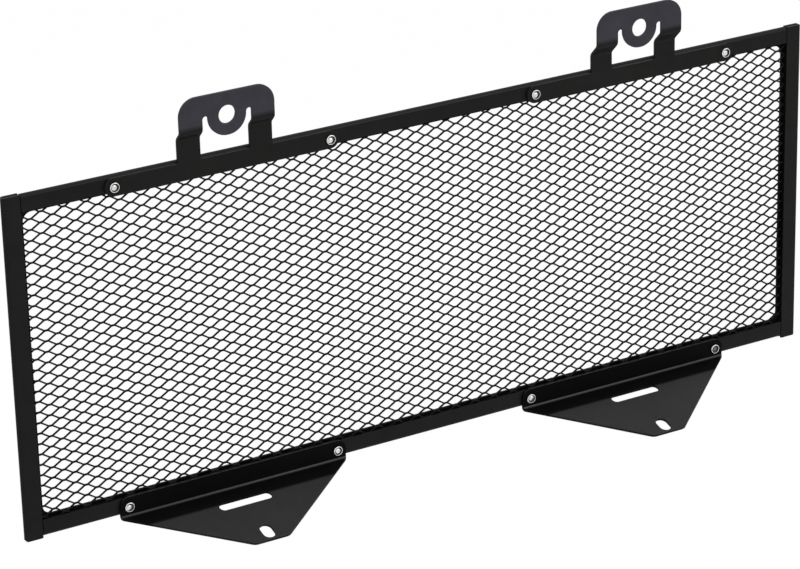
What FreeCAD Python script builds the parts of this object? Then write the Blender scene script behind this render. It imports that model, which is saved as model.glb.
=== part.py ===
"""Radiator grille: a folded sheet frame that clamps an expanded metal mesh, with two
stepped hangers along its top rail and two folded foot brackets along its bottom rail.

Everything is drawn about the middle of the frame: X runs along the rails, Y from the
front of the rails to the back, and Z up, with zero at the lower edge of the opening.
The finished pieces are then moved, so that the origin is the centre of the left
hanger's bolt hole, on the back face of its plate. Sizes are in millimetres and angles
in degrees.
"""

import FreeCAD, Part
import math
import os

# Frame: one sheet with its four edges folded flat over the mesh
opening_width = 432.0
opening_height = 155.0
side_rail_width = 9.0
top_rail_width = 8.4
bottom_rail_width = 8.6
frame_sheet = 1.2
side_lip = 1.7
end_lip = 1.4
lip_corner_radius = 4.5
seam_gap = 0.4
side_rail_overhang = 0.8
rail_corner_radius = 1.2

# Expanded metal mesh, clamped in the folds
mesh_thickness = 1.2
mesh_columns = 7
mesh_rows = 5
mesh_strand = 3.2
mesh_bond = 9.0
mesh_edge_clearance = 0.3
mesh_window_margin = 1.0
mesh_rivet_gap_width = 7.0
mesh_rivet_gap_height = 3.2
mesh_rivet_gap_flat = 3.0
smallest_cell_share = 0.05

# Hangers, listed left then right
bracket_sheet = 1.5
strip_positions = (-112.1, 118.6)
step_depths = (3.5, 5.5)
step_starts = (18.4, 16.2)
step_angle = 45.0
step_bend_radius = 2.2
strip_length = 124.0
strip_height = 9.1
strip_centre_height = 2.85
plate_offset = 1.0
plate_width = 50.2
leg_width = 12.1
plate_top_height = 39.1
plate_corner_radius = 9.0
bolt_hole_radius = 4.5
bolt_hole_height = 27.8
tab_width = 20.0
tab_drop = 10.1
relief_top_rise = 1.1

# Foot brackets, listed left then right
foot_positions = (-113.9, 114.1)
foot_plate_angles = (19.0, 17.0)
foot_plate_lengths = (39.0, 43.0)
foot_flange_top = 0.9
foot_bend_drop = 9.0
foot_bend_radius = 1.5
foot_tip_width = 18.8
foot_tip_radius = 5.0
foot_heel_distance = 0.6
foot_heel_radius = 2.5
foot_slot_length = 28.5
foot_slot_width = 5.0
foot_slot_distance = 10.6
tip_slot_length = 9.3
tip_slot_width = 6.2
tip_slot_inset = 5.9

# Blind rivets, set through the brackets and the frame
rivet_shank_radius = 1.2
rivet_hole_radius = 1.25
rivet_end_distance = 4.7
foot_rivet_drop = 4.4
rivet_head_radius = 2.55
rivet_head_height = 0.95
rivet_tail_radius = 1.85
rivet_tail_length = 1.5

# Sizes worked out from those above
half_width = opening_width / 2
frame_depth = 2 * frame_sheet + mesh_thickness
fold_radius = frame_depth / 2
fold_inner_radius = mesh_thickness / 2
side_flat = side_rail_width - fold_radius
top_flat = top_rail_width - fold_radius
bottom_flat = bottom_rail_width - fold_radius
frame_top = opening_height + top_rail_width
side_rail_bottom = -bottom_rail_width - side_rail_overhang
strip_z = opening_height + strip_centre_height
bolt_hole_z = opening_height + bolt_hole_height
part_origin = FreeCAD.Vector(strip_positions[0] + plate_offset, -step_depths[0], bolt_hole_z)
x_axis = FreeCAD.Vector(1, 0, 0)
y_axis = FreeCAD.Vector(0, 1, 0)
z_axis = FreeCAD.Vector(0, 0, 1)
shortest_edge = 1e-6
past_surface = 1.0


def vector_xz(x, z):
    """A point of the front view."""
    return FreeCAD.Vector(x, 0, z)


def vector_yz(y, z):
    """A point of a cross-section seen along X."""
    return FreeCAD.Vector(0, y, z)


def vector_xy(x, y):
    """A point of a cross-section seen from above."""
    return FreeCAD.Vector(x, y, 0)


def rounded_face(corners, to_space):
    """A flat face from corners (a, b, radius), each rounded by its own radius."""
    points = [to_space(a, b) for a, b, radius in corners]
    radii = [radius for a, b, radius in corners]
    starts = []
    middles = []
    ends = []
    for index, corner in enumerate(points):
        before = (points[index - 1] - corner).normalize()
        after = (points[(index + 1) % len(points)] - corner).normalize()
        half_angle = before.getAngle(after) / 2
        reach = radii[index] / math.tan(half_angle)
        bisector = (before + after).normalize()
        nearest = radii[index] / math.sin(half_angle) - radii[index]
        starts.append(corner + before * reach)
        middles.append(corner + bisector * nearest)
        ends.append(corner + after * reach)
    edges = []
    for index, start in enumerate(starts):
        if radii[index] > shortest_edge:
            edges.append(Part.Arc(start, middles[index], ends[index]).toShape())
        following = starts[(index + 1) % len(starts)]
        if (following - ends[index]).Length > shortest_edge:
            edges.append(Part.LineSegment(ends[index], following).toShape())
    return Part.Face(Part.Wire(edges))


def slot_face(size_a, size_b, centre_a, centre_b, to_space):
    """A slot with round ends, its sizes given along the two directions."""
    a = size_a / 2
    b = size_b / 2
    end_radius = min(a, b)
    corners = rectangle(centre_a - a, centre_a + a, centre_b - b, centre_b + b)
    return rounded_face([(a, b, end_radius) for a, b, radius in corners], to_space)


def rectangle(a_low, a_high, b_low, b_high):
    """Square corners of a rectangle, ready for rounded_face."""
    return [(a_low, b_low, 0), (a_high, b_low, 0), (a_high, b_high, 0), (a_low, b_high, 0)]


def through(face, front, back):
    """The face of a front view pushed from one depth to another."""
    solid = face.extrude(y_axis * (back - front))
    solid.translate(y_axis * front)
    return solid


def sheet_section(path, thickness, bend_radius):
    """Section of a bent sheet: the path is its front side, seen along X.

    The sheet lies to the right of the path's direction. The inside of each bend has
    the bend radius, and the outside follows it at the sheet's thickness.
    """
    points = [vector_yz(y, z) for y, z in path]
    directions = [(b - a).normalize() for a, b in zip(points, points[1:])]
    normals = [vector_yz(d.z, -d.y) for d in directions]
    front = [(points[0].y, points[0].z, 0)]
    back = [points[0] + normals[0] * thickness]
    back = [(back[0].y, back[0].z, 0)]
    for index in range(1, len(points) - 1):
        turn = directions[index - 1].cross(directions[index]).x
        front_is_inside = turn > 0
        bisector = (normals[index - 1] + normals[index]).normalize()
        reach = thickness / bisector.dot(normals[index])
        offset = points[index] + bisector * reach
        front_radius = bend_radius if front_is_inside else bend_radius + thickness
        back_radius = bend_radius + thickness if front_is_inside else bend_radius
        front.append((points[index].y, points[index].z, front_radius))
        back.append((offset.y, offset.z, back_radius))
    end = points[-1] + normals[-1] * thickness
    front.append((points[-1].y, points[-1].z, 0))
    back.append((end.y, end.z, 0))
    return rounded_face(front + back[::-1], vector_yz)


def hem_face(flat, to_space):
    """Section of a folded edge: the flap on the front, then the half-round fold.

    The first direction runs outward from the opening's edge, the second to the back.
    """
    outer_end = to_space(flat, frame_depth)
    inner_start = to_space(flat, frame_depth - frame_sheet)
    edges = [
        Part.LineSegment(to_space(0, 0), to_space(flat, 0)).toShape(),
        Part.Arc(to_space(flat, 0), to_space(flat + fold_radius, fold_radius), outer_end).toShape(),
        Part.LineSegment(outer_end, inner_start).toShape(),
        Part.Arc(
            inner_start,
            to_space(flat + fold_inner_radius, fold_radius),
            to_space(flat, frame_sheet),
        ).toShape(),
        Part.LineSegment(to_space(flat, frame_sheet), to_space(0, frame_sheet)).toShape(),
        Part.LineSegment(to_space(0, frame_sheet), to_space(0, 0)).toShape(),
    ]
    return Part.Face(Part.Wire(edges))


def rivet_points():
    """Names and places of the rivets, two to each hanger and each foot bracket."""
    reach = strip_length / 2 - rivet_end_distance
    rows = (("top", strip_positions, strip_z), ("bottom", foot_positions, -foot_rivet_drop))
    places = []
    for row, centres, z in rows:
        spots = [centre + side * reach for centre in centres for side in (-1, 1)]
        for number, x in enumerate(spots, 1):
            places.append((f"{row}_{number}", x, z))
    return places


def rivet_holes():
    """The holes for all rivets, as one tool that reaches through every sheet."""
    length = bracket_sheet + frame_depth + 2 * past_surface
    tools = []
    for name, x, z in rivet_points():
        start = FreeCAD.Vector(x, -bracket_sheet - past_surface, z)
        tools.append(Part.makeCylinder(rivet_hole_radius, length, start, y_axis))
    return Part.makeCompound(tools)


def side_hem(side):
    """A folded side edge, which runs the full height of the frame."""
    height = frame_top - side_rail_bottom
    hem = hem_face(side_flat, lambda a, b: vector_xy(side * (half_width + a), b))
    hem = hem.extrude(z_axis * height)
    hem.translate(z_axis * side_rail_bottom)
    inner = side * half_width
    outer = side * (half_width + side_rail_width)
    outline = [
        (inner, side_rail_bottom, 0),
        (outer, side_rail_bottom, rail_corner_radius),
        (outer, frame_top, rail_corner_radius),
        (inner, frame_top, 0),
    ]
    outline = rounded_face(outline, vector_xz)
    return hem.common(through(outline, -past_surface, frame_depth + past_surface))


def end_hem(level, direction, flat):
    """A folded top or bottom edge, which ends a seam short of the side folds."""
    length = opening_width - 2 * seam_gap
    hem = hem_face(flat, lambda a, b: vector_yz(b, level + direction * a))
    hem = hem.extrude(x_axis * length)
    hem.translate(x_axis * (-length / 2))
    return hem


def make_frame():
    """The back sheet with its rounded opening and the four folded edges."""
    front = frame_depth - frame_sheet
    middle = rounded_face(
        rectangle(-half_width, half_width, -bottom_flat, opening_height + top_flat), vector_xz
    )
    sheet = through(middle, front, frame_depth)
    pieces = []
    for side in (-1, 1):
        strip = rectangle(half_width, half_width + side_flat, side_rail_bottom, frame_top)
        strip = [(side * a, b, radius) for a, b, radius in strip]
        pieces.append(through(rounded_face(strip, vector_xz), front, frame_depth))
        pieces.append(side_hem(side))
    pieces.append(end_hem(opening_height, 1, top_flat))
    pieces.append(end_hem(0, -1, bottom_flat))
    frame = sheet.fuse(pieces).removeSplitter()
    lip = rectangle(
        -half_width + side_lip, half_width - side_lip, end_lip, opening_height - end_lip
    )
    lip = [(a, b, lip_corner_radius) for a, b, radius in lip]
    opening = through(rounded_face(lip, vector_xz), frame_sheet, frame_depth + past_surface)
    return frame.cut(opening).cut(rivet_holes()).removeSplitter()


def mesh_gap(x, z, width, height, flat):
    """One gap of the expanded metal: six sides, flat above and below, pointed at its ends."""
    corners = [
        (x - width / 2, z, 0),
        (x - flat / 2, z - height / 2, 0),
        (x + flat / 2, z - height / 2, 0),
        (x + width / 2, z, 0),
        (x + flat / 2, z + height / 2, 0),
        (x - flat / 2, z + height / 2, 0),
    ]
    return rounded_face(corners, vector_xz)


def mesh_gaps():
    """The staggered gaps of the expanded metal, cut off where the rails cover it."""
    pitch_x = opening_width / mesh_columns
    pitch_z = opening_height / mesh_rows
    slope = math.atan2(pitch_z / 2, (pitch_x - mesh_bond) / 2)
    height = pitch_z - mesh_strand
    flat = mesh_bond - mesh_strand * math.tan(slope / 2)
    width = flat + height / math.tan(slope)
    reach = half_width + mesh_window_margin
    window = rectangle(-reach, reach, -mesh_window_margin, opening_height + mesh_window_margin)
    window = rounded_face(window, vector_xz)
    gaps = []
    for row in range(2 * mesh_rows):
        shift = row % 2
        for column in range(mesh_columns + 1 - shift):
            x = (column + shift / 2) * pitch_x - half_width
            z = (row + 0.5) * pitch_z / 2
            gap = mesh_gap(x, z, width, height, flat).common(window)
            gaps += gap.Faces
    smallest = smallest_cell_share * width * height
    return [gap.OuterWire for gap in gaps if gap.Area > smallest]


def make_mesh_panel():
    """The expanded metal: gaps in one sheet, whose rim is held in the frame's folds."""
    gaps = mesh_gaps()
    size = (mesh_rivet_gap_width, mesh_rivet_gap_height, mesh_rivet_gap_flat)
    gaps += [mesh_gap(x, z, *size).OuterWire for name, x, z in rivet_points()]
    reach = half_width + side_flat - mesh_edge_clearance
    low = -bottom_flat + mesh_edge_clearance
    high = opening_height + top_flat - mesh_edge_clearance
    rim = rounded_face(rectangle(-reach, reach, low, high), vector_xz).OuterWire
    face = Part.makeFace([rim] + gaps, "Part::FaceMakerBullseye")
    return through(face, frame_sheet, frame_sheet + mesh_thickness)


def hanger_outline(strip_x):
    """Front view of a hanger: the riveted strip with the plate standing on it."""
    low = strip_z - strip_height / 2
    high = strip_z + strip_height / 2
    top = opening_height + plate_top_height
    reach = strip_length / 2
    plate_left = strip_x + plate_offset - plate_width / 2
    plate_right = plate_left + plate_width
    end_radius = strip_height / 2
    corners = [
        (strip_x - reach, low, end_radius),
        (strip_x + reach, low, end_radius),
        (strip_x + reach, high, end_radius),
        (plate_right, high, 0),
        (plate_right, top, plate_corner_radius),
        (plate_left, top, plate_corner_radius),
        (plate_left, high, 0),
        (strip_x - reach, high, end_radius),
    ]
    return rounded_face(corners, vector_xz)


def hanger_window(centre):
    """Front view of what is cut from between the legs, round the hanging tab."""
    high = strip_z + strip_height / 2
    relief_top = bolt_hole_z + relief_top_rise
    tab_bottom = bolt_hole_z - tab_drop
    leg = plate_width / 2 - leg_width
    tab = tab_width / 2
    relief_radius = (leg - tab) / 2
    tab_radius = min(tab, relief_top - relief_radius - tab_bottom)
    left = [
        (-leg, high, 0),
        (-leg, relief_top, relief_radius),
        (-tab, relief_top, relief_radius),
        (-tab, tab_bottom, tab_radius),
    ]
    right = [(-a, b, radius) for a, b, radius in left[::-1]]
    corners = [(centre + a, b, radius) for a, b, radius in left + right]
    return rounded_face(corners, vector_xz)


def make_hanger(strip_x, depth, start):
    """A hanger: its legs step forward, while the tab between them stays flat."""
    centre = strip_x + plate_offset
    front = -bracket_sheet
    forward = front - depth
    bottom = strip_z - strip_height
    top = opening_height + plate_top_height + past_surface
    step_low = opening_height + start
    step_high = step_low + depth / math.tan(math.radians(step_angle))
    path = [(front, bottom), (front, step_low), (forward, step_high), (forward, top)]
    width = strip_length + 2 * past_surface
    formed = sheet_section(path, bracket_sheet, step_bend_radius).extrude(x_axis * width)
    formed.translate(x_axis * (strip_x - width / 2))
    between = (tab_width + plate_width - 2 * leg_width) / 4
    window_low = strip_z + strip_height / 2
    tab_low = (window_low + bolt_hole_z - tab_drop) / 2
    tab_high = step_high + 2 * step_bend_radius
    tab_zone = rectangle(centre - between, centre + between, tab_low, tab_high)
    tab_zone = rounded_face(tab_zone, vector_xz)
    formed = formed.cut(through(tab_zone, forward - past_surface, past_surface))
    formed = formed.fuse(through(tab_zone, forward, forward + bracket_sheet))
    blank = hanger_outline(strip_x).cut(hanger_window(centre))
    hanger = formed.common(through(blank, forward - past_surface, past_surface))
    hole_start = FreeCAD.Vector(centre, forward - past_surface, bolt_hole_z)
    hole_length = bracket_sheet + 2 * past_surface
    hole = Part.makeCylinder(bolt_hole_radius, hole_length, hole_start, y_axis)
    return hanger.cut(hole).cut(rivet_holes()).removeSplitter()


def make_foot_bracket(centre, plate_angle, plate_length):
    """A foot bracket: the flange, the bend, and the plate that narrows to its tip."""
    front = -bracket_sheet
    angle = math.radians(plate_angle)
    tip_y = front - plate_length * math.cos(angle)
    tip_z = -foot_bend_drop - plate_length * math.sin(angle)
    path = [(tip_y, tip_z), (front, -foot_bend_drop), (front, foot_flange_top)]
    sheet = sheet_section(path, bracket_sheet, foot_bend_radius).extrude(x_axis * strip_length)
    sheet.translate(x_axis * (centre - strip_length / 2))
    reach = strip_length / 2
    below = tip_z - 2 * bracket_sheet
    flange = [
        (centre - reach, below, 0),
        (centre + reach, below, 0),
        (centre + reach, foot_flange_top, rivet_end_distance),
        (centre - reach, foot_flange_top, rivet_end_distance),
    ]
    flange = rounded_face(flange, vector_xz)
    sheet = sheet.common(through(flange, tip_y - past_surface - bracket_sheet, past_surface))
    bend = FreeCAD.Vector(centre, front, -foot_bend_drop)
    along = FreeCAD.Vector(0, -math.cos(angle), -math.sin(angle))
    normal = FreeCAD.Vector(0, -math.sin(angle), math.cos(angle))

    def on_plate(u, v):
        return bend + x_axis * u + along * v

    half_tip = foot_tip_width / 2
    outline = [
        (-reach, -reach, 0),
        (-reach, foot_heel_distance, foot_heel_radius),
        (-half_tip, plate_length, foot_tip_radius),
        (half_tip, plate_length, foot_tip_radius),
        (reach, foot_heel_distance, foot_heel_radius),
        (reach, -reach, 0),
    ]
    plate = rounded_face(outline, on_plate)
    plate = plate.cut(slot_face(foot_slot_length, foot_slot_width, 0, foot_slot_distance, on_plate))
    tip_slot_distance = plate_length - tip_slot_inset
    plate = plate.cut(slot_face(tip_slot_width, tip_slot_length, 0, tip_slot_distance, on_plate))
    above = foot_flange_top + foot_bend_drop + past_surface
    prism = plate.extrude(normal * (above + 2 * bracket_sheet))
    prism.translate(normal * (-2 * bracket_sheet))
    return sheet.common(prism).cut(rivet_holes()).removeSplitter()


def make_rivet(x, z):
    """A set blind rivet: the raised head, the filled shank and the flared tail."""
    seat = -bracket_sheet
    end = frame_depth + rivet_tail_length
    corners = [
        (0, seat - rivet_head_height, 0),
        (rivet_head_radius, seat, 0),
        (rivet_shank_radius, seat, 0),
        (rivet_shank_radius, frame_depth, 0),
        (rivet_tail_radius, end, 0),
        (0, end, 0),
    ]
    body = rounded_face(corners, vector_xy).revolve(FreeCAD.Vector(0, 0, 0), y_axis, 360)
    body.translate(FreeCAD.Vector(x, 0, z))
    return body


def make_parts():
    """Every separate piece of the grille, by its name."""
    parts = {"frame": make_frame(), "mesh_panel": make_mesh_panel()}
    for index, side in enumerate(("left", "right")):
        place = (strip_positions[index], step_depths[index], step_starts[index])
        parts[f"{side}_hanger"] = make_hanger(*place)
        place = (foot_positions[index], foot_plate_angles[index], foot_plate_lengths[index])
        parts[f"{side}_foot_bracket"] = make_foot_bracket(*place)
    for name, x, z in rivet_points():
        parts[f"rivet_{name}"] = make_rivet(x, z)
    return parts


def main():
    os.makedirs("parts", exist_ok=True)
    for name, shape in make_parts().items():
        shape.translate(-part_origin)
        solids = shape.Solids
        piece = solids[0] if len(solids) == 1 else shape
        piece.exportStep(f"parts/{name}.step")
        print(name, len(solids), round(shape.Volume, 1), shape.isValid())


main()
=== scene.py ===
"""Radiator grille: the true-pitch expanded mesh, the set rivets and every finish, built
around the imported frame, with the studio that shows it.

Sizes in the classes are millimetres on the grille's own drawing: X from the middle of
the frame, Y from the front of the rails to the back, Z from the lower edge of the
opening. Drawing.point turns them into metres in the row's frame.
"""

import logging
import math
from dataclasses import dataclass, field
from enum import Enum
from typing import Any, Iterable

import bmesh
import bpy
from mathutils import Matrix, Vector


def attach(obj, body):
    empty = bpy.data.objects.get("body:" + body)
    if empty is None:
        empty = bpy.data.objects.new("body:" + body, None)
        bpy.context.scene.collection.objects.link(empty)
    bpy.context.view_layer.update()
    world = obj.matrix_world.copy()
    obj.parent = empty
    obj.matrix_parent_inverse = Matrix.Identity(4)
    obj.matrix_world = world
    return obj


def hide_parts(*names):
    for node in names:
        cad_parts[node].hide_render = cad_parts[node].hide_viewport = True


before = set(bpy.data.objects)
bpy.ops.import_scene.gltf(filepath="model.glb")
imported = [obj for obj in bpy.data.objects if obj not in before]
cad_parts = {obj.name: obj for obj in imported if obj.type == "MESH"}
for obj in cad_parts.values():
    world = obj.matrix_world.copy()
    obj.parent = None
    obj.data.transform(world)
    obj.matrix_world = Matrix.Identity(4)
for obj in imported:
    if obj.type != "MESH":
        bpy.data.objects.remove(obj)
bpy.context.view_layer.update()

log = logging.getLogger("grille")

MILLIMETRE = 0.001
SHARP_ANGLE = math.radians(35)
MERGE_DISTANCE = 1e-6
CUT_DISTANCE = MERGE_DISTANCE / 10
SLIVER_LENGTH = MERGE_DISTANCE * 5
NOISE_MIDDLE = 0.5
WHITE = (1.0, 1.0, 1.0, 1.0)


class Drawing:
    """The grille's drawing and its place in the row's frame."""

    ORIGIN = Vector((-111.1, -3.5, 182.8))

    @classmethod
    def point(cls, x: float, y: float, z: float) -> Vector:
        """A point of the drawing in the row's frame.

        Args:
            x: Millimetres from the middle of the frame.
            y: Millimetres behind the front of the rails.
            z: Millimetres above the lower edge of the opening.

        Returns:
            The point in metres.
        """
        return (Vector((x, y, z)) - cls.ORIGIN) * MILLIMETRE


class Signal:
    """A shader socket on which arithmetic adds Math nodes."""

    def __init__(self, tree: "ShaderTree", socket: bpy.types.NodeSocket) -> None:
        """Wrap a socket.

        Args:
            tree: The tree that new nodes go into.
            socket: The output socket that carries the value.
        """
        self.tree = tree
        self.socket = socket

    def _math(self, operation: str, first: Any, second: Any) -> "Signal":
        """Add one Math node.

        Args:
            operation: The node's operation.
            first: A number or a signal.
            second: A number or a signal.

        Returns:
            The node's result.
        """
        return self.tree.add("ShaderNodeMath", {"operation": operation}, {0: first, 1: second})

    def __add__(self, other: Any) -> "Signal":
        """The sum with a number or a signal."""
        return self._math("ADD", self, other)

    __radd__ = __add__

    def __sub__(self, other: Any) -> "Signal":
        """What is left after taking a number or a signal away."""
        return self._math("SUBTRACT", self, other)

    def __rsub__(self, other: Any) -> "Signal":
        """What is left of a number after taking this away."""
        return self._math("SUBTRACT", other, self)

    def __mul__(self, other: Any) -> "Signal":
        """The product with a number or a signal."""
        return self._math("MULTIPLY", self, other)

    __rmul__ = __mul__

    def __abs__(self) -> "Signal":
        """How far this is from 0, either way."""
        return self.larger(self * -1.0)

    def larger(self, other: Any) -> "Signal":
        """The larger of this and a number or a signal."""
        return self._math("MAXIMUM", self, other)

    def ramp(self, low: float, high: float) -> "Signal":
        """A smooth rise from 0 at one value to 1 at another."""
        return self.tree.add(
            "ShaderNodeMapRange",
            {"interpolation_type": "SMOOTHSTEP"},
            {"Value": self, "From Min": low, "From Max": high},
        )


class ShaderTree:
    """The node tree of a material or a world."""

    def __init__(self, owner: Any) -> None:
        """Start with an empty tree.

        Args:
            owner: The material or world that owns the tree.
        """
        owner.use_nodes = True
        self.nodes = owner.node_tree.nodes
        self.links = owner.node_tree.links
        self.nodes.clear()

    def add(self, kind: str, settings: dict[str, Any], inputs: dict[Any, Any], output: Any = 0) -> Signal:
        """Add a node.

        Args:
            kind: The node's type.
            settings: Properties that are set first.
            inputs: Socket name or number, to a value or a signal.
            output: Name or number of the output that is wanted.

        Returns:
            The wanted output.
        """
        node = self.nodes.new(kind)
        for name, value in settings.items():
            if name == "stops":
                self._set_stops(node.color_ramp, value)
            else:
                setattr(node, name, value)
        for name, value in inputs.items():
            if isinstance(value, Signal):
                self.links.new(value.socket, node.inputs[name])
            else:
                node.inputs[name].default_value = value
        return Signal(self, node.outputs[output])

    @staticmethod
    def _set_stops(ramp: bpy.types.ColorRamp, stops: list[tuple[float, tuple]]) -> None:
        """Give a ramp its stops.

        Args:
            ramp: The ramp, which has two stops to begin with.
            stops: Position and colour of each stop.
        """
        while len(ramp.elements) < len(stops):
            ramp.elements.new(1.0)
        for element, (position, colour) in zip(ramp.elements, stops):
            element.position = position
            element.color = colour

    def surface(self, shader: Signal, kind: str = "ShaderNodeOutputMaterial") -> None:
        """Send a shader to the tree's output.

        Args:
            shader: The shader.
            kind: The type of the output node.
        """
        output = self.nodes.new(kind)
        self.links.new(shader.socket, output.inputs["Surface"])


class Finish:
    """A surface finish that makes its material once."""

    name: str
    slot: str

    def _build(self, tree: ShaderTree) -> Signal:
        """The finish's shader.

        Args:
            tree: The material's tree.

        Returns:
            The shader's output.
        """
        raise NotImplementedError

    def material(self) -> bpy.types.Material:
        """The finish as a material.

        Returns:
            The material, made on the first call.
        """
        known = bpy.data.materials.get(self.name)
        if known:
            return known
        material = bpy.data.materials.new(self.name)
        tree = ShaderTree(material)
        tree.surface(self._build(tree))
        return material


@dataclass(frozen=True)
class PowderCoat(Finish):
    """Satin black coat: a fine pebbled skin that is glossier where it looks up, a painted reflection of a
    bright surround above and a dark one in front.

    The plates that stand forward can take a paler tone than what is behind them: painted sheen.
    """

    name: str
    slot: str
    tone: tuple[float, float, float]
    painted_light_tone: tuple[float, float, float]
    forward_from: float = 1.4
    forward_to: float = -0.4
    under_gloss: float = 0.06
    roughness: float = 0.5
    specular: float = 0.07
    gloss: float = 0.5
    gloss_roughness: float = 0.12
    pebble: float = 0.55
    pebble_depth: float = 0.014
    flow: float = 6.0
    flow_depth: float = 0.03
    mottle: float = 38.0
    mottle_share: float = 0.6
    contrast: float = 0.22
    contrast_stops: tuple[float, float] = (0.3, 0.7)
    roughness_change: float = 0.16
    flow_strength: float = 0.6
    pebble_strength: float = 0.7
    looks_up: tuple[float, float] = (0.15, 0.6)
    looks_down: tuple[float, float] = (-0.2, -0.6)

    def _noise(self, tree: ShaderTree, place: Signal, size: float, detail: float) -> Signal:
        """A noise whose grains have a size.

        Args:
            tree: The material's tree.
            place: The place on the grille.
            size: Millimetres from grain to grain.
            detail: How many finer layers it holds.

        Returns:
            The noise, from 0 to 1.
        """
        settings = {"Vector": place, "Scale": 1 / (size * MILLIMETRE), "Detail": detail}
        return tree.add("ShaderNodeTexNoise", {}, settings)

    def _tones(self, tree: ShaderTree, tone: tuple[float, float, float], shade: Signal) -> Signal:
        """A tone that the shade moves a little darker or lighter.

        Args:
            tree: The material's tree.
            tone: The tone in the middle.
            shade: The noise that moves it.

        Returns:
            The colour.
        """
        dark = tuple(c * (1 - self.contrast) for c in tone) + (1.0,)
        light = tuple(c * (1 + self.contrast) for c in tone) + (1.0,)
        stops = list(zip(self.contrast_stops, (dark, light)))
        return tree.add("ShaderNodeValToRGB", {"stops": stops}, {"Fac": shade})

    def _painted_light_share(self, place: Signal, depth: Signal) -> Signal:
        """How far the tone has gone to the painted light tone, here that of the forward plates.

        Args:
            place: The place on the grille.
            depth: Metres from the back of the left plate, on the grille's Y.

        Returns:
            The share of the forward tone.
        """
        return depth.ramp(self.forward_from * MILLIMETRE, self.forward_to * MILLIMETRE)

    def _coating(self, place: Signal, rise: Signal, depth: Signal) -> Signal:
        """How strongly the skin mirrors its surround, set by the way the face looks: a painted
        reflection, strong where it looks up, faint where it looks down.

        Args:
            place: The place on the grille.
            rise: How far the surface looks up, from -1 to 1.
            depth: Metres from the back of the left plate, on the grille's Y.

        Returns:
            The weight of the glossy skin.
        """
        # Painted reflection: the gloss follows the face's slope, not what the face sees.
        above = rise.ramp(*self.looks_up) * self.gloss
        return above + rise.ramp(*self.looks_down) * self.under_gloss

    def _build(self, tree: ShaderTree) -> Signal:
        """The coat's shader.

        Args:
            tree: The material's tree.

        Returns:
            The shader's output.
        """
        place = tree.add("ShaderNodeTexCoord", {}, {}, "Object")
        pebbles = self._noise(tree, place, self.pebble, detail=2.0)
        flow = self._noise(tree, place, self.flow, detail=3.0)
        mottle = self._noise(tree, place, self.mottle, detail=5.0)
        shade = mottle * self.mottle_share + flow * (1 - self.mottle_share)
        depth = tree.add("ShaderNodeSeparateXYZ", {}, {"Vector": place}, "Y")
        normal = tree.add("ShaderNodeNewGeometry", {}, {}, "Normal")
        rise = tree.add("ShaderNodeSeparateXYZ", {}, {"Vector": normal}, "Z")
        # Painted light and shade: a second tone blended in by place.
        colour = tree.add(
            "ShaderNodeMix",
            {"data_type": "RGBA"},
            {
                "Factor": self._painted_light_share(place, depth),
                "A": self._tones(tree, self.tone, shade),
                "B": self._tones(tree, self.painted_light_tone, shade),
            },
            "Result",
        )
        wave = tree.add(
            "ShaderNodeBump",
            {},
            {
                "Strength": self.flow_strength,
                "Distance": self.flow_depth * MILLIMETRE,
                "Height": flow,
            },
        )
        skin = tree.add(
            "ShaderNodeBump",
            {},
            {
                "Strength": self.pebble_strength,
                "Distance": self.pebble_depth * MILLIMETRE,
                "Height": pebbles,
                "Normal": wave,
            },
        )
        return tree.add(
            "ShaderNodeBsdfPrincipled",
            {},
            {
                "Base Color": colour,
                "Roughness": self.roughness + (shade - NOISE_MIDDLE) * self.roughness_change,
                "Specular IOR Level": self.specular,
                "Coat Weight": self._coating(place, rise, depth),
                "Coat Roughness": self.gloss_roughness,
                "Normal": skin,
            },
        )


@dataclass(frozen=True)
class FrameCoat(PowderCoat):
    """The coat on the frame, with painted shade on the walls of its opening, where it is blackest."""

    centre: tuple[float, float] = (111.1, -105.3)
    half_opening: tuple[float, float] = (216.0, 77.5)
    reach: float = 0.3
    wall_start: float = 3.65
    wall_fade: float = 0.3
    wall_edge: float = 0.1

    def _painted_wall_shade(self, place: Signal, depth: Signal) -> Signal:
        """A mask of painted shade: one on the walls of the opening, behind their front edge.

        Args:
            place: The place on the grille.
            depth: Metres from the back of the left plate, on the grille's Y.

        Returns:
            The mask.
        """
        start = self.wall_start * MILLIMETRE
        mask = depth.ramp(start, start + self.wall_fade * MILLIMETRE)
        for axis, centre, half in zip("XZ", self.centre, self.half_opening):
            along = place.tree.add("ShaderNodeSeparateXYZ", {}, {"Vector": place}, axis)
            off = along - centre * MILLIMETRE
            inner = (half + self.reach) * MILLIMETRE
            mask = mask * abs(off).ramp(inner + self.wall_edge * MILLIMETRE, inner)
        return mask

    def _painted_light_share(self, place: Signal, depth: Signal) -> Signal:
        """How far the tone has gone to the painted shade of the opening's walls."""
        return self._painted_wall_shade(place, depth)

    def _coating(self, place: Signal, rise: Signal, depth: Signal) -> Signal:
        """The glossy skin, which the opening's walls don't show, as part of their painted shade."""
        return PowderCoat._coating(self, place, rise, depth) * (1.0 - self._painted_wall_shade(place, depth))


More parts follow.
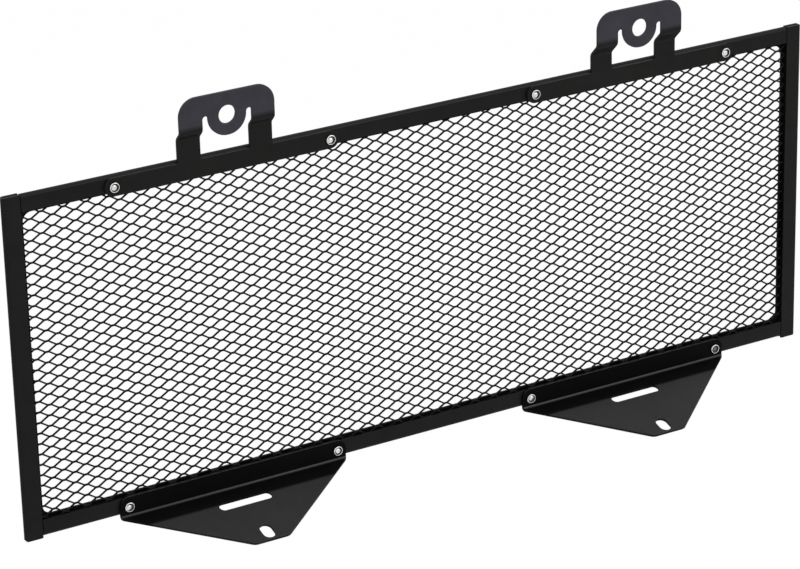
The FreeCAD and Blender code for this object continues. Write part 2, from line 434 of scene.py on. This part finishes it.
@dataclass(frozen=True)
class HangerCoat(PowderCoat):
    """The hangers' coat: their plates take a paler tone, painted sheen, which darkens into painted shade
    towards the step in their legs.
    """

    gloss: float = 0.17
    centres: tuple[float, float] = (0.0, 230.7)
    tab_end: float = 11.2
    leg_start: float = 12.6
    dark_below: float = -5.0
    pale_above: float = -1.7

    def _painted_light_share(self, place: Signal, depth: Signal) -> Signal:
        """The paler tone's share: painted sheen, which falls into painted shade along the legs towards
        the step, but not down the tab.

        Args:
            place: The place on the grille.
            depth: Metres from the back of the left plate, on the grille's Y.

        Returns:
            The share of the forward tone.
        """
        across = place.tree.add("ShaderNodeSeparateXYZ", {}, {"Vector": place}, "X")
        height = place.tree.add("ShaderNodeSeparateXYZ", {}, {"Vector": place}, "Z")
        # Painted shade: the sheen fades out towards the step, except on the tab.
        pale = height.ramp(self.dark_below * MILLIMETRE, self.pale_above * MILLIMETRE)
        for centre in self.centres:
            aside = abs(across - centre * MILLIMETRE)
            pale = pale.larger(aside.ramp(self.leg_start * MILLIMETRE, self.tab_end * MILLIMETRE))
        return PowderCoat._painted_light_share(self, place, depth) * pale


@dataclass(frozen=True)
class FootCoat(PowderCoat):
    """The foot brackets' coat: the flange and a band along the bend below it keep a darker tone and
    little gloss, painted shade; the plate beyond takes a paler tone, painted sheen.
    """

    forward_from: float = -5.7
    forward_to: float = -7.5
    specular: float = 0.03
    gloss: float = 0.75
    gloss_roughness: float = 0.3
    flange_front: float = 2.0
    flange_fade: float = 0.5
    bend_end: float = 1.0
    bend_fade: float = 0.3
    band_end: float = -6.6
    band_edge: float = 0.9
    band_gloss: float = 0.05

    def _coating(self, place: Signal, rise: Signal, depth: Signal) -> Signal:
        """The skin's weight, cut down on the band next to the bend: painted shade.

        Args:
            place: The place on the grille.
            rise: How far the surface looks up, from -1 to 1.
            depth: Metres from the back of the left plate, on the grille's Y.

        Returns:
            The weight of the glossy skin.
        """
        bend_start = (self.bend_end + self.bend_fade) * MILLIMETRE
        bend = depth.ramp(self.bend_end * MILLIMETRE, bend_start)
        flange_skin = (self.flange_front + self.flange_fade) * MILLIMETRE
        bend = bend * depth.ramp(flange_skin, self.flange_front * MILLIMETRE)
        edge = self.band_edge * MILLIMETRE
        end = self.band_end * MILLIMETRE
        plate = depth.ramp(end + edge, end - edge)
        outside = bend.larger(plate)
        # Painted shade: outside the bend and the plate, only a little gloss is kept.
        share = outside * (1 - self.band_gloss) + self.band_gloss
        return PowderCoat._coating(self, place, rise, depth) * share


@dataclass(frozen=True)
class BrightMetal(Finish):
    """Bare metal of the rivets: bright, with fine drawn marks and dull patches.

    Behind the crown of the head, and through the sheets, its colour is darkened: painted shade in the eye
    and round the foot of the head.
    """

    name: str
    slot: str
    tone: tuple[float, float, float]
    roughness: float = 0.3
    metallic: float = 0.75
    mark: float = 0.35
    mark_depth: float = 0.01
    mark_strength: float = 0.6
    patch: float = 1.6
    patch_share: float = 0.6
    patch_stops: tuple[float, float] = (0.35, 0.62)
    dull_share: float = 0.72
    roughness_change: float = 0.25
    painted_shade_from: float = 1.22
    painted_shade_full: float = 1.5
    painted_shade_end: float = 7.0
    painted_shade_edge: float = 0.1
    painted_shade_share: float = 0.07

    def _build(self, tree: ShaderTree) -> Signal:
        """The metal's shader.

        Args:
            tree: The material's tree.

        Returns:
            The shader's output.
        """
        place = tree.add("ShaderNodeTexCoord", {}, {}, "Object")
        scale = 1 / MILLIMETRE
        marks = tree.add(
            "ShaderNodeTexNoise", {}, {"Vector": place, "Scale": scale / self.mark, "Detail": 4.0}
        )
        patches = tree.add(
            "ShaderNodeTexNoise", {}, {"Vector": place, "Scale": scale / self.patch, "Detail": 3.0}
        )
        dull = tuple(c * self.dull_share for c in self.tone) + (1.0,)
        colour = tree.add(
            "ShaderNodeValToRGB",
            {"stops": list(zip(self.patch_stops, (dull, self.tone + (1.0,))))},
            {"Fac": patches * self.patch_share + marks * (1 - self.patch_share)},
        )
        depth = tree.add("ShaderNodeSeparateXYZ", {}, {"Vector": place}, "Y")
        # Painted shade: darker from just behind the crown of the head to the tail.
        painted_shade_mask = depth.ramp(self.painted_shade_from * MILLIMETRE, self.painted_shade_full * MILLIMETRE)
        clean = (self.painted_shade_end + self.painted_shade_edge) * MILLIMETRE
        painted_shade_mask = painted_shade_mask * depth.ramp(clean, self.painted_shade_end * MILLIMETRE)
        painted_shade_colour = tuple(c * self.painted_shade_share for c in self.tone) + (1.0,)
        colour = tree.add(
            "ShaderNodeMix",
            {"data_type": "RGBA"},
            {"Factor": painted_shade_mask, "A": colour, "B": painted_shade_colour},
            "Result",
        )
        skin = tree.add(
            "ShaderNodeBump",
            {},
            {
                "Strength": self.mark_strength,
                "Distance": self.mark_depth * MILLIMETRE,
                "Height": marks,
            },
        )
        return tree.add(
            "ShaderNodeBsdfPrincipled",
            {},
            {
                "Base Color": colour,
                "Metallic": self.metallic,
                "Roughness": self.roughness + (patches - NOISE_MIDDLE) * self.roughness_change,
                "Normal": skin,
            },
        )


BLACK = (0.0078, 0.0078, 0.0075)
# Painted shade on the walls of the frame's opening.
WALL_PAINTED_SHADE = (0.001, 0.001, 0.001)
MESH_BLACK = (0.0035, 0.0035, 0.0034)
# Painted sheen: the paler tone of the hangers' forward plates.
HANGER_PLATE_PAINTED_SHEEN = (0.032, 0.031, 0.038)
# Painted shade on the foot brackets' flange and the band along their bend.
FOOT_PAINTED_SHADE = (0.0021, 0.0021, 0.0024)
# Painted sheen: the paler tone of the foot brackets' plates.
FOOT_PLATE_PAINTED_SHEEN = (0.0122, 0.0122, 0.0125)
ALUMINIUM = (0.86, 0.86, 0.85)
STEEL = (0.8, 0.79, 0.77)


class Coat(Enum):
    """The finishes of the grille."""

    FRAME = FrameCoat("frame_black", "frame_coat", BLACK, WALL_PAINTED_SHADE, gloss=0.17)
    MESH = PowderCoat("mesh_black", "mesh_coat", MESH_BLACK, MESH_BLACK, gloss=0.1, pebble=0.4)
    HANGER = HangerCoat("hanger_black", "bracket_coat", BLACK, HANGER_PLATE_PAINTED_SHEEN)
    FOOT = FootCoat("foot_black", "bracket_coat", FOOT_PAINTED_SHADE, FOOT_PLATE_PAINTED_SHEEN)
    RIVET = BrightMetal(
        "bright_aluminium", "rivet_aluminium", ALUMINIUM, roughness=0.2, metallic=1.0
    )
    MANDREL = BrightMetal("broken_steel", "rivet_aluminium", STEEL, roughness=0.25, metallic=1.0)


class Piece:
    """A finished mesh of the grille."""

    @staticmethod
    def place(
        name: str,
        shape: bmesh.types.BMesh,
        coat: Coat,
        stands_for: Iterable[str],
        normals: list[Vector] | None = None,
    ) -> bpy.types.Object:
        """Turn a bmesh into an object that rides on the grille.

        Args:
            name: The object's name.
            shape: The shape, in the row's frame, freed afterwards.
            coat: Its finish.
            stands_for: The solids that it takes the place of.
            normals: Its vertices' normals, where they aren't the plain mean.

        Returns:
            The object.
        """
        mesh = bpy.data.meshes.new(name)
        for face in shape.faces:
            face.smooth = True
        Piece._set_order(shape)
        shape.to_mesh(mesh)
        shape.free()
        if normals:
            mesh.normals_split_custom_set_from_vertices(normals)
        else:
            mesh.set_sharp_from_angle(angle=SHARP_ANGLE)
        mesh.materials.append(coat.value.material())
        piece = bpy.data.objects.new(name, mesh)
        bpy.context.scene.collection.objects.link(piece)
        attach(piece, "root")
        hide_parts(*stands_for)
        log.info("%s: %d faces", name, len(mesh.polygons))
        return piece

    @staticmethod
    def _set_order(shape: bmesh.types.BMesh) -> None:
        """Sort the faces by their vertices, because the operators' order varies from run to run.

        Args:
            shape: The shape, whose vertices keep their order.
        """
        shape.verts.index_update()
        count = len(shape.verts)
        keys = {}
        for face in shape.faces:
            first, second, third = sorted(vert.index for vert in face.verts)[:3]
            keys[face] = float((first * count + second) * count + third)
        shape.faces.sort(key=keys.get)

    @staticmethod
    def lathe(profile: list[tuple[float, float]], steps: int, closed: bool) -> bmesh.types.BMesh:
        """Spin a profile about an axis along Y, with its centre at the origin.

        Args:
            profile: Radius and depth of each point, in millimetres.
            steps: Number of segments round the axis.
            closed: Whether the last point joins the first.

        Returns:
            The closed shape, in metres.
        """
        shape = bmesh.new()
        points = [Vector((radius, depth, 0)) * MILLIMETRE for radius, depth in profile]
        verts = [shape.verts.new(point) for point in points]
        pairs = list(zip(verts, verts[1:]))
        if closed:
            pairs.append((verts[-1], verts[0]))
        edges = [shape.edges.new(pair) for pair in pairs]
        bmesh.ops.spin(
            shape,
            geom=verts + edges,
            cent=(0, 0, 0),
            axis=(0, 1, 0),
            angle=math.tau,
            steps=steps,
            use_merge=True,
        )
        bmesh.ops.remove_doubles(shape, verts=shape.verts[:], dist=MERGE_DISTANCE)
        bmesh.ops.recalc_face_normals(shape, faces=shape.faces[:])
        return shape


@dataclass
class ExpandedMesh:
    """The expanded metal: six-sided gaps between strands that lean as slit metal does."""

    long_pitch: float = 11.412
    short_pitch: float = 5.337
    bond: float = 1.8
    strand: float = 0.76
    flat_share: float = 0.5
    bond_extra: float = 0.12
    thickness: float = 0.9
    lean: float = 0.14
    middle: float = 1.8
    half_width: float = 222.9
    low: float = -6.5
    high: float = 161.3
    phase_x: float = -1.7
    phase_z: float = 1.115
    middle_height: float = 77.5
    skew: float = 0.022
    sag: float = 0.45
    sag_length: float = 271.6
    sag_crest: float = -41.3
    spare_columns: int = 1
    spare_rows: int = 2

    def _cell(self, shape: bmesh.types.BMesh) -> list[Any]:
        """One gap with half of each strand round it, centred on the origin.

        Args:
            shape: The bmesh that the cell goes into.

        Returns:
            The cell's vertices, edges and faces.
        """
        tip = (self.long_pitch - self.bond) / 2
        flat = self.bond / 2
        rise = self.short_pitch / 2
        front = -self.thickness / 2
        corners = [(-tip, 0), (-flat, -rise), (flat, -rise), (tip, 0), (flat, rise), (-flat, rise)]
        verts = [shape.verts.new(Vector((x, front, z)) * MILLIMETRE) for x, z in corners]
        face = shape.faces.new(verts)
        face.normal_update()
        flat_band = self.strand * self.flat_share / 2
        bmesh.ops.inset_individual(
            shape, faces=[face], thickness=flat_band * MILLIMETRE, depth=0, use_even_offset=True
        )
        bmesh.ops.inset_individual(
            shape,
            faces=[face],
            thickness=(self.strand / 2 - flat_band) * MILLIMETRE,
            depth=-self.thickness / 2 * MILLIMETRE,
            use_even_offset=True,
        )
        bmesh.ops.delete(shape, geom=[face], context="FACES_ONLY")
        bmesh.ops.mirror(
            shape,
            geom=shape.verts[:] + shape.edges[:] + shape.faces[:],
            matrix=Matrix.Identity(4),
            merge_dist=MERGE_DISTANCE,
            axis="Y",
        )
        edge = rise * MILLIMETRE
        for vert in shape.verts:
            if abs(vert.co.z) < edge - MERGE_DISTANCE and abs(vert.co.z) > MERGE_DISTANCE:
                side = math.copysign(1.0, vert.co.z)
                vert.co.z -= side * self.bond_extra * MILLIMETRE
                vert.co.y -= side * self.lean * MILLIMETRE
        return shape.verts[:] + shape.edges[:] + shape.faces[:]

    def _repeat(self, shape: bmesh.types.BMesh, count: int, step: Vector) -> None:
        """Copy everything in a shape at equal steps.

        Args:
            shape: The shape to copy within.
            count: Number of copies in all.
            step: The step in millimetres.
        """
        geometry = shape.verts[:] + shape.edges[:] + shape.faces[:]
        for number in range(1, count):
            copied = bmesh.ops.duplicate(shape, geom=geometry)["geom"]
            verts = [item for item in copied if isinstance(item, bmesh.types.BMVert)]
            bmesh.ops.translate(shape, verts=verts, vec=step * number * MILLIMETRE)

    def _stretch(self, shape: bmesh.types.BMesh) -> None:
        """Lean and wave the rows a little, as slit and stretched metal does.

        Args:
            shape: The sheet, in the row's frame.
        """
        crest = Drawing.point(self.sag_crest, 0, self.middle_height)
        for vert in shape.verts:
            turn = math.tau * (vert.co.x - crest.x) / (self.sag_length * MILLIMETRE)
            vert.co.x += self.skew * (vert.co.z - crest.z)
            vert.co.z += self.sag * MILLIMETRE * math.cos(turn)

    @staticmethod
    def _lies(edge: bmesh.types.BMEdge, point: Vector, across: Vector) -> bool:
        """Whether an edge lies in a plane."""
        return all(abs((vert.co - point).dot(across)) < MERGE_DISTANCE for vert in edge.verts)

    def _trim(self, shape: bmesh.types.BMesh) -> None:
        """Cut the sheet to its outline and close the cut strands.

        Args:
            shape: The sheet, in the row's frame.
        """
        cuts = (
            (Drawing.point(-self.half_width, 0, 0), Vector((-1, 0, 0))),
            (Drawing.point(self.half_width, 0, 0), Vector((1, 0, 0))),
            (Drawing.point(0, 0, self.low), Vector((0, 0, -1))),
            (Drawing.point(0, 0, self.high), Vector((0, 0, 1))),
        )
        for point, outward in cuts:
            bmesh.ops.bisect_plane(
                shape,
                geom=shape.verts[:] + shape.edges[:] + shape.faces[:],
                dist=CUT_DISTANCE,
                plane_co=point,
                plane_no=outward,
                clear_outer=True,
            )
            rims = [edge for edge in shape.edges if edge.is_boundary and self._lies(edge, point, outward)]
            bmesh.ops.holes_fill(shape, edges=rims, sides=0)
        bmesh.ops.dissolve_degenerate(shape, dist=SLIVER_LENGTH, edges=shape.edges[:])

    def build(self) -> bpy.types.Object:
        """Make the mesh panel.

        Returns:
            The object.
        """
        shape = bmesh.new()
        self._cell(shape)
        columns = math.ceil(self.half_width / self.long_pitch) + self.spare_columns
        rows = math.ceil((self.high - self.low) / self.short_pitch) + self.spare_rows
        self._repeat(shape, 2, Vector((self.long_pitch / 2, 0, self.short_pitch / 2)))
        self._repeat(shape, 2 * columns + 1, Vector((self.long_pitch, 0, 0)))
        self._repeat(shape, rows + 1, Vector((0, 0, self.short_pitch)))
        first_x = self.phase_x - columns * self.long_pitch
        first_z = self.phase_z - self.spare_rows * self.short_pitch
        corner = Drawing.point(first_x, self.middle, first_z)
        bmesh.ops.translate(shape, verts=shape.verts[:], vec=corner)
        bmesh.ops.remove_doubles(shape, verts=shape.verts[:], dist=MERGE_DISTANCE)
        self._stretch(shape)
        self._trim(shape)
        bmesh.ops.recalc_face_normals(shape, faces=shape.faces[:])
        return Piece.place("expanded_mesh", shape, Coat.MESH, ["mesh_panel"])


Corner = tuple[tuple[float, float], ...]


@dataclass
class BlindRivets:
    """The set rivets along both rails, with the broken mandrels in their bores.

    A Corner holds the points that soften a corner of a profile, each as its distance
    outwards and backwards from that corner.
    """

    strip_centres: tuple[float, float] = (-112.1, 118.6)
    foot_centres: tuple[float, float] = (-113.9, 114.1)
    reach: float = 57.3
    top_height: float = 157.85
    bottom_height: float = -4.4
    seat: float = -1.5
    back: float = 3.6
    head_radius: float = 2.55
    head_height: float = 0.95
    head_edge: float = 0.3
    head_foot: Corner = ((0.0, -0.12), (-0.08, 0.0))
    rim_steps: int = 8
    shank_radius: float = 1.2
    tail_radius: float = 1.85
    tail_length: float = 1.5
    tail_bulge: Corner = ((-0.25, 0.18), (0.0, 0.62), (-0.05, 1.05))
    tail_inset: float = 0.4
    bore_radius: float = 0.7
    bore_edge: Corner = ((0.0, 0.04), (0.04, 0.0))
    eye_radius: float = 2.0
    eye_depth: float = 0.76
    eye_floor: Corner = ((-0.12, 0.0), (-0.03, -0.08))
    eye_lip: Corner = ((0.0, 0.12), (0.05, 0.03))
    lip_width: float = 0.16
    pin_radius: float = 0.65
    pin_end: Corner = ((0.0, -0.32), (-0.065, -0.12), (-0.325, -0.03))
    pin_inset: float = 0.02
    button_radius: float = 1.52
    button_gap: float = 0.02
    button_wall: float = 0.08
    button_taper: float = 0.04
    dome_steps: int = 7
    dome_power: float = 0.8
    buttons: tuple[tuple[float, float, float], ...] = (
        (-0.32, 0.0, 0.74),
        (-0.46, -0.14, 0.76),
        (-0.46, -0.12, 0.74),
        (-0.46, -0.1, 0.74),
        (-0.46, -0.16, 0.74),
        (-0.2, 0.0, 0.7),
        (-0.1, 0.24, 0.76),
        (-0.1, 0.1, 0.3),
    )
    steps: int = 40

    def places(self) -> list[tuple[str, float, float]]:
        """Name and place of each rivet.

        Returns:
            The name's ending, X and Z.
        """
        rows = (
            ("top", self.strip_centres, self.top_height),
            ("bottom", self.foot_centres, self.bottom_height),
        )
        found = []
        for row, centres, height in rows:
            spots = [centre + side * self.reach for centre in centres for side in (-1, 1)]
            found += [(f"{row}_{number}", x, height) for number, x in enumerate(spots, 1)]
        return found

    @staticmethod
    def _soft(radius: float, depth: float, corner: Corner) -> list[tuple[float, float]]:
        """The points that soften the corner of a profile at a radius and a depth."""
        return [(radius + outwards, depth + backwards) for outwards, backwards in corner]

    def _body(self) -> list[tuple[float, float]]:
        """Profile of the body: a head sunken in the middle, the shank and the tail.

        Returns:
            Radius and depth of each point.
        """
        crown = self.seat - self.head_height
        floor = crown + self.eye_depth
        lip = self.eye_radius + self.lip_width
        drop = self.head_height - self.head_edge
        rim = []
        for number in range(1, self.rim_steps):
            turn = math.radians(90 * number / self.rim_steps)
            radius = lip + (self.head_radius - lip) * math.sin(turn)
            rim.append((radius, crown + drop * (1 - math.cos(turn))))
        end = self.back + self.tail_length
        return [
            *self._soft(self.bore_radius, floor, self.bore_edge),
            *self._soft(self.eye_radius, floor, self.eye_floor),
            *self._soft(self.eye_radius, crown, self.eye_lip),
            (lip, crown),
            *rim,
            *self._soft(self.head_radius, self.seat, self.head_foot),
            (self.shank_radius, self.seat),
            (self.shank_radius, self.back),
            *self._soft(self.tail_radius, self.back, self.tail_bulge),
            (self.tail_radius - self.tail_inset, end),
            (self.bore_radius, end),
        ]

    def _pin(self, height: float) -> list[tuple[float, float]]:
        """Profile of the mandrel: the domed button in the eye, the pin and its rounded back.

        Args:
            height: How far the button's dome stands above its wall.

        Returns:
            Radius and depth of each point.
        """
        floor = self.seat - self.head_height + self.eye_depth - self.button_gap
        end = self.back + self.tail_length
        dome = []
        for number in range(self.dome_steps + 1):
            turn = math.radians(90 * number / self.dome_steps)
            rise = height * math.cos(turn) ** self.dome_power
            dome.append((self.button_radius * math.sin(turn), floor - self.button_wall - rise))
        return [
            *dome,
            (self.button_radius - self.button_taper, floor),
            (self.pin_radius, floor),
            *self._soft(self.pin_radius, end, self.pin_end),
            (0.0, end - self.pin_inset),
        ]

    def _shift(self, shape: bmesh.types.BMesh, along: float, up: float) -> None:
        """Move the mandrel's button off the middle, the way it broke off.

        Args:
            shape: The mandrel, with its axis through the origin.
            along: Movement in X.
            up: Movement in Z.
        """
        floor = (self.seat - self.head_height + self.eye_depth) * MILLIMETRE
        button = [vert for vert in shape.verts if vert.co.y < floor]
        bmesh.ops.translate(shape, verts=button, vec=Vector((along, 0, up)) * MILLIMETRE)

    def build(self) -> list[bpy.types.Object]:
        """Make every rivet.

        Returns:
            The objects.
        """
        made = []
        for (name, x, z), (along, up, height) in zip(self.places(), self.buttons):
            where = Drawing.point(x, 0, z)
            body = Piece.lathe(self._body(), self.steps, True)
            pin = Piece.lathe(self._pin(height), self.steps, False)
            self._shift(pin, along, up)
            for kind, shape, coat in (("rivet", body, Coat.RIVET), ("mandrel", pin, Coat.MANDREL)):
                bmesh.ops.translate(shape, verts=shape.verts[:], vec=where)
                made.append(Piece.place(f"set_{kind}_{name}", shape, coat, [f"rivet_{name}"]))
        return made


@dataclass
class SheetParts:
    """The folded frame, the hangers and the foot brackets, with their cut edges softened."""

    edge: float = 0.18
    frame_edge: float = 0.08
    edge_segments: int = 2
    flat_below: float = 0.4
    sharp_above: float = 32.0
    most_corners: int = 4
    coats: dict[str, Coat] = field(
        default_factory=lambda: {
            "frame": Coat.FRAME,
            "left_hanger": Coat.HANGER,
            "right_hanger": Coat.HANGER,
            "left_foot_bracket": Coat.FOOT,
            "right_foot_bracket": Coat.FOOT,
        }
    )

    def _soften(self, shape: bmesh.types.BMesh, radius: float) -> list[Vector]:
        """Join a solid's triangles into whole faces and round its sharp edges.

        Args:
            shape: The solid, as loose triangles.
            radius: Millimetres that each sharp edge is rounded by.

        Returns:
            The vertices' normals, in which a face counts by its area.
        """
        bmesh.ops.remove_doubles(shape, verts=shape.verts[:], dist=MERGE_DISTANCE)
        bmesh.ops.dissolve_limit(
            shape,
            angle_limit=math.radians(self.flat_below),
            use_dissolve_boundaries=False,
            verts=shape.verts[:],
            edges=shape.edges[:],
        )
        bmesh.ops.recalc_face_normals(shape, faces=shape.faces[:])
        limit = math.radians(self.sharp_above)
        edges = [edge for edge in shape.edges if edge.calc_face_angle(0.0) > limit]
        bmesh.ops.bevel(
            shape,
            geom=edges,
            offset=radius * MILLIMETRE,
            offset_type="OFFSET",
            affect="EDGES",
            segments=self.edge_segments,
            profile=0.5,
            clamp_overlap=False,
            material=-1,
        )
        normals = [
            sum((face.normal * face.calc_area() for face in vert.link_faces), Vector()).normalized()
            for vert in shape.verts
        ]
        large = [face for face in shape.faces if len(face.verts) > self.most_corners]
        bmesh.ops.triangulate(shape, faces=large)
        return normals

    def build(self) -> list[bpy.types.Object]:
        """Make a softened copy of each solid, in its finish.

        Returns:
            The objects.
        """
        made = []
        for node, coat in self.coats.items():
            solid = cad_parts[node]
            shape = bmesh.new()
            shape.from_mesh(solid.data)
            shape.transform(solid.matrix_world)
            normals = self._soften(shape, self.frame_edge if node == "frame" else self.edge)
            made.append(Piece.place(f"coated_{node}", shape, coat, [node], normals))
        return made


@dataclass(frozen=True)
class Softbox:
    """A square lamp: metres from the middle of the grille, metres a side, and watts."""

    name: str
    place: tuple[float, float, float]
    size: float
    power: float
    in_gloss: bool = False


@dataclass
class Studio:
    """The camera at the photograph's angle, the lamps, the pale floor and the white surround."""

    eye: tuple[float, float, float] = (-798.07, -1333.3, 700.4)
    right: tuple[float, float, float] = (0.8580, -0.5132, -0.0235)
    up: tuple[float, float, float] = (0.2115, 0.3111, 0.9265)
    lens: float = 153.1
    sensor: float = 36.0
    view_end: float = 50.0
    ambient: float = 0.55
    floor_height: float = -330.0
    floor_size: float = 9.0
    floor_glow: float = 0.985
    floor_tone: tuple[float, float, float, float] = (0.86, 0.86, 0.86, 1.0)
    floor_roughness: float = 0.9
    floor_specular: float = 0.1
    middle_height: float = 80.0
    lamps: tuple[Softbox, ...] = (
        Softbox("key", (-1.4, -1.6, 2.0), size=1.4, power=40.0),
        Softbox("fill", (1.8, -1.4, 1.2), size=1.6, power=16.0),
        Softbox("front", (1.05, -1.76, 0.81), size=0.8, power=8.0, in_gloss=True),
    )

    def camera(self) -> None:
        """Place the camera."""
        data = bpy.data.cameras.new("view")
        data.lens = self.lens
        data.sensor_width = self.sensor
        data.clip_end = self.view_end
        right = Vector(self.right).normalized()
        up = Vector(self.up)
        up = (up - right * up.dot(right)).normalized()
        turn = Matrix((right, up, right.cross(up))).transposed().to_4x4()
        camera = bpy.data.objects.new("view", data)
        camera.matrix_world = Matrix.Translation(Drawing.point(*self.eye)) @ turn
        bpy.context.scene.collection.objects.link(camera)
        bpy.context.scene.camera = camera

    @staticmethod
    def _seen(tree: ShaderTree) -> Signal:
        """One where the eye looks, or looks by way of gloss or glass.

        Args:
            tree: The tree that the nodes go into.

        Returns:
            The mask.
        """
        seen = tree.add("ShaderNodeLightPath", {}, {}, "Is Camera Ray")
        for kind in ("Is Glossy Ray", "Is Transmission Ray"):
            seen = seen.larger(tree.add("ShaderNodeLightPath", {}, {}, kind))
        return seen

    def surround(self) -> None:
        """Make the white surround, which lights the grille more softly than it looks."""
        world = bpy.data.worlds.new("surround")
        bpy.context.scene.world = world
        tree = ShaderTree(world)
        soft = tree.add("ShaderNodeBackground", {}, {"Color": WHITE, "Strength": self.ambient})
        seen = tree.add("ShaderNodeBackground", {}, {"Color": WHITE, "Strength": 1.0})
        mixed = tree.add("ShaderNodeMixShader", {}, {0: self._seen(tree), 1: soft, 2: seen})
        tree.surface(mixed, "ShaderNodeOutputWorld")

    def floor(self) -> None:
        """Lay the pale floor, which still takes the grille's shadow."""
        shape = bmesh.new()
        bmesh.ops.create_grid(shape, x_segments=4, y_segments=4, size=self.floor_size / 2)
        height = Drawing.point(0, 0, self.floor_height)
        bmesh.ops.translate(shape, verts=shape.verts[:], vec=height)
        mesh = bpy.data.meshes.new("floor")
        shape.to_mesh(mesh)
        shape.free()
        material = bpy.data.materials.new("pale_floor")
        tree = ShaderTree(material)
        matt = tree.add(
            "ShaderNodeBsdfPrincipled",
            {},
            {
                "Base Color": self.floor_tone,
                "Roughness": self.floor_roughness,
                "Specular IOR Level": self.floor_specular,
            },
        )
        glow = tree.add("ShaderNodeEmission", {}, {"Color": WHITE, "Strength": 1.0})
        share = self._seen(tree) * self.floor_glow
        tree.surface(tree.add("ShaderNodeMixShader", {}, {0: share, 1: matt, 2: glow}))
        mesh.materials.append(material)
        floor = bpy.data.objects.new("floor", mesh)
        bpy.context.scene.collection.objects.link(floor)

    def hang(self, box: Softbox) -> None:
        """Hang a lamp that looks at the middle of the grille.

        Args:
            box: The lamp. Glossy surfaces mirror it only if it says so.
        """
        data = bpy.data.lights.new(box.name, "AREA")
        data.size = box.size
        data.energy = box.power
        middle = Drawing.point(0, 0, self.middle_height)
        where = middle + Vector(box.place)
        lamp = bpy.data.objects.new(box.name, data)
        turn = (middle - where).to_track_quat("-Z", "Y").to_matrix().to_4x4()
        lamp.matrix_world = Matrix.Translation(where) @ turn
        lamp.visible_glossy = box.in_gloss
        bpy.context.scene.collection.objects.link(lamp)

    def build(self) -> None:
        """Make the whole studio."""
        self.camera()
        self.surround()
        self.floor()
        for box in self.lamps:
            self.hang(box)
        bpy.context.scene.view_settings.view_transform = "Standard"


def main() -> None:
    """Build the studio and the grille's pieces in order."""
    logging.basicConfig(level=logging.INFO, format="%(name)s: %(message)s")
    Studio().build()
    SheetParts().build()
    ExpandedMesh().build()
    BlindRivets().build()


if __name__ == "__main__":
    main()
